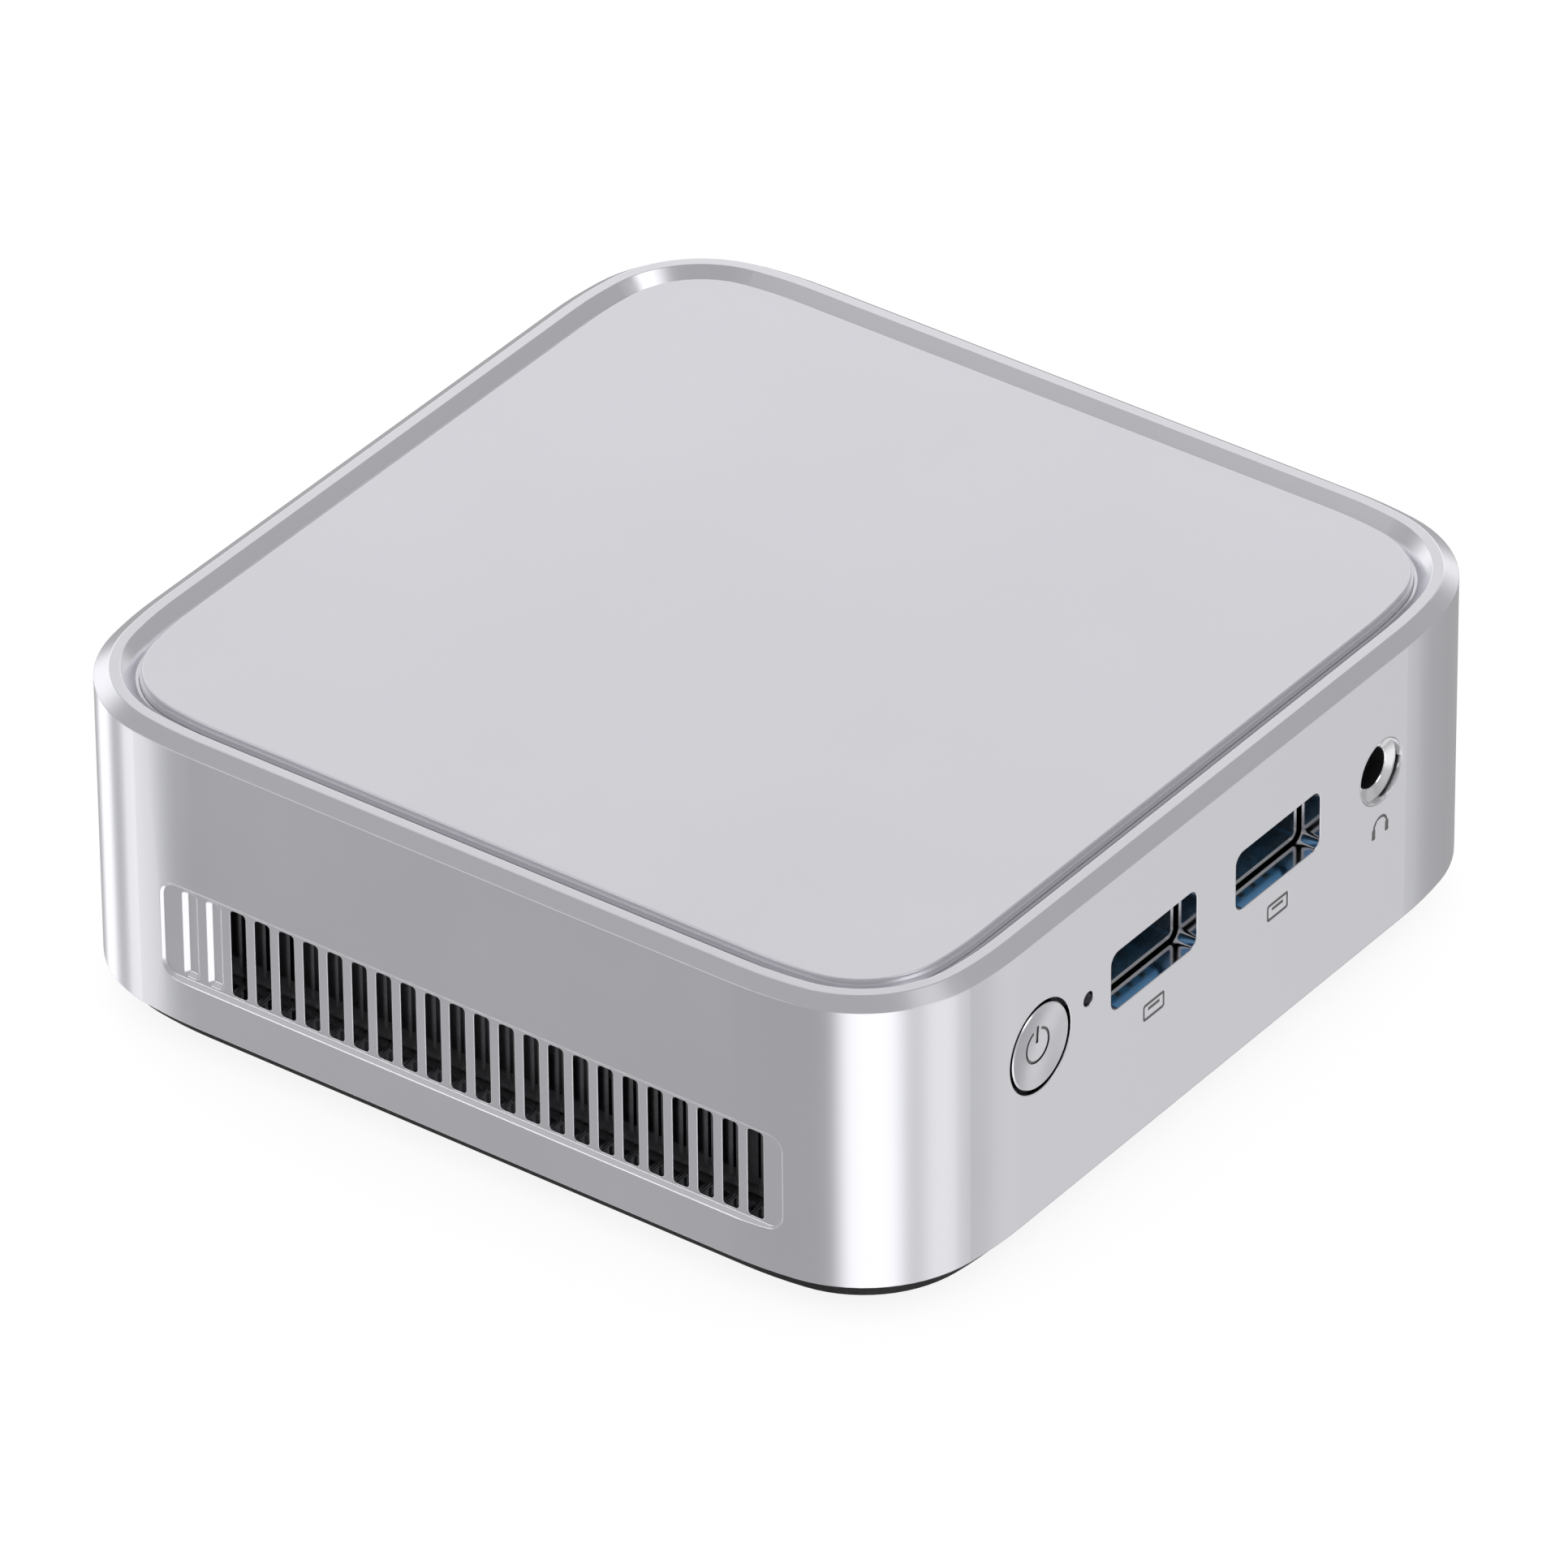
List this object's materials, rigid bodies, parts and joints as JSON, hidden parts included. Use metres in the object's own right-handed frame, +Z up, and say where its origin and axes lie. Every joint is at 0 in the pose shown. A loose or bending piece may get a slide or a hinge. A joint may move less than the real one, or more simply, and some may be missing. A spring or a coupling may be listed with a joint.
{
  "type": "mini pc",
  "caption": "Small square desktop computer: rounded aluminium shell with an inset top plate, slotted side vents, front push button, USB and audio sockets, fan-cooled board inside.",
  "frame": {"origin": "on the plane of the feet, under the middle of the case", "axes": "+Z up; -Y out of the front face with the power button; +X to the right of a person facing the front; the vents are on -X and +X"},
  "size_m": [0.102, 0.102, 0.036],
  "materials": {
    "shell_aluminium": "satin anodised",
    "plate_aluminium": "satin anodised",
    "button_aluminium": "satin anodised",
    "cover_plastic": "fine texture",
    "grille_plastic": "matt",
    "black_plastic": "moulded",
    "usb_blue": "moulded",
    "light_pipe": "smoked clear",
    "polished_steel": "polished",
    "socket_steel": "bright sheet",
    "screw_steel": "plain",
    "screw_black": "black oxide",
    "contact_gold": "gold plated",
    "brass": "turned",
    "copper": "copper",
    "circuit_board": "solder mask",
    "chip_black": "moulded",
    "heatsink_aluminium": "extruded",
    "lead_black": "flexible sheath",
    "rubber_foot": "matt"
  },
  "bodies": {
    "case": {"housing": "shell_aluminium", "top_plate": "plate_aluminium", "bottom_cover": "cover_plastic", "cover_screws": "screw_black", "bracket_inserts": "brass", "vent_liner_left": "grille_plastic", "vent_liner_right": "grille_plastic", "power_switch": "black_plastic", "status_light_pipe": "light_pipe", "usb_contacts": "contact_gold", "audio_collar": "polished_steel", "audio_jack": "black_plastic", "audio_contacts": "contact_gold", "video_shell": "socket_steel", "video_tongue": "black_plastic", "lan_shell": "socket_steel", "lan_insert": "black_plastic", "lan_contacts": "contact_gold", "dc_jack": "black_plastic", "dc_pin": "contact_gold", "mainboard": "circuit_board", "board_standoffs": "brass", "board_screws": "screw_steel", "board_components": "chip_black", "processor": "chip_black", "heatsink": "heatsink_aluminium", "cooler_fixings": "screw_steel", "fan_frame": "black_plastic", "fan_coil": "copper", "fan_screws": "screw_steel", "memory_module": "circuit_board", "memory_socket": "black_plastic", "ssd": "circuit_board", "ssd_socket": "black_plastic", "wifi_card": "circuit_board", "wifi_socket": "black_plastic", "card_fixings": "screw_steel", "coin_cell": "polished_steel", "coin_cell_holder": "black_plastic", "antennas": "lead_black", "antenna_leads": "lead_black", "fan_lead": "lead_black", "front_usb_left_shell": "socket_steel", "front_usb_left_tongue": "usb_blue", "front_usb_right_shell": "socket_steel", "front_usb_right_tongue": "usb_blue", "rear_usb_inner_shell": "socket_steel", "rear_usb_inner_tongue": "usb_blue", "rear_usb_outer_shell": "socket_steel", "rear_usb_outer_tongue": "usb_blue", "foot_front_left": "rubber_foot", "foot_front_right": "rubber_foot", "foot_rear_left": "rubber_foot", "foot_rear_right": "rubber_foot"},
    "power_button": {"power_button_cap": "button_aluminium", "power_button_carrier": "black_plastic"},
    "switch_plunger": {"switch_plunger": "black_plastic"},
    "fan_rotor": {"fan_rotor": "black_plastic"},
    "memory_latch_left": {"memory_latch_left": "socket_steel"},
    "memory_latch_right": {"memory_latch_right": "socket_steel"}
  },
  "joints": [
    {"name": "power_button_press", "type": "slide", "parent": "case", "child": "power_button", "axis": [0, 1, 0], "range_m": [0, 0.00035], "stiffness_N_per_m": 800, "springref_m": -0.0005},
    {"name": "switch_plunger_press", "type": "slide", "parent": "case", "child": "switch_plunger", "axis": [0, 1, 0], "range_m": [0, 0.00035]},
    {"name": "fan_spin", "type": "hinge", "parent": "case", "child": "fan_rotor", "pos_m": [0, 0.015, 0], "axis": [0, 0, 1], "continuous": true},
    {"name": "memory_latch_left_swing", "type": "hinge", "parent": "case", "child": "memory_latch_left", "pos_m": [-0.035, -0.0219, 0.0151], "axis": [0, 0, -1], "range_deg": [0, 6], "stiffness_Nm_per_rad": 0.05, "springref_deg": -2.86},
    {"name": "memory_latch_right_swing", "type": "hinge", "parent": "case", "child": "memory_latch_right", "pos_m": [0.035, -0.0219, 0.0151], "axis": [0, 0, 1], "range_deg": [0, 6], "stiffness_Nm_per_rad": 0.05, "springref_deg": -2.86}
  ],
  "couplings": [
    {"joint": "switch_plunger_press", "follows": "power_button_press", "ratio": 1}
  ]
}
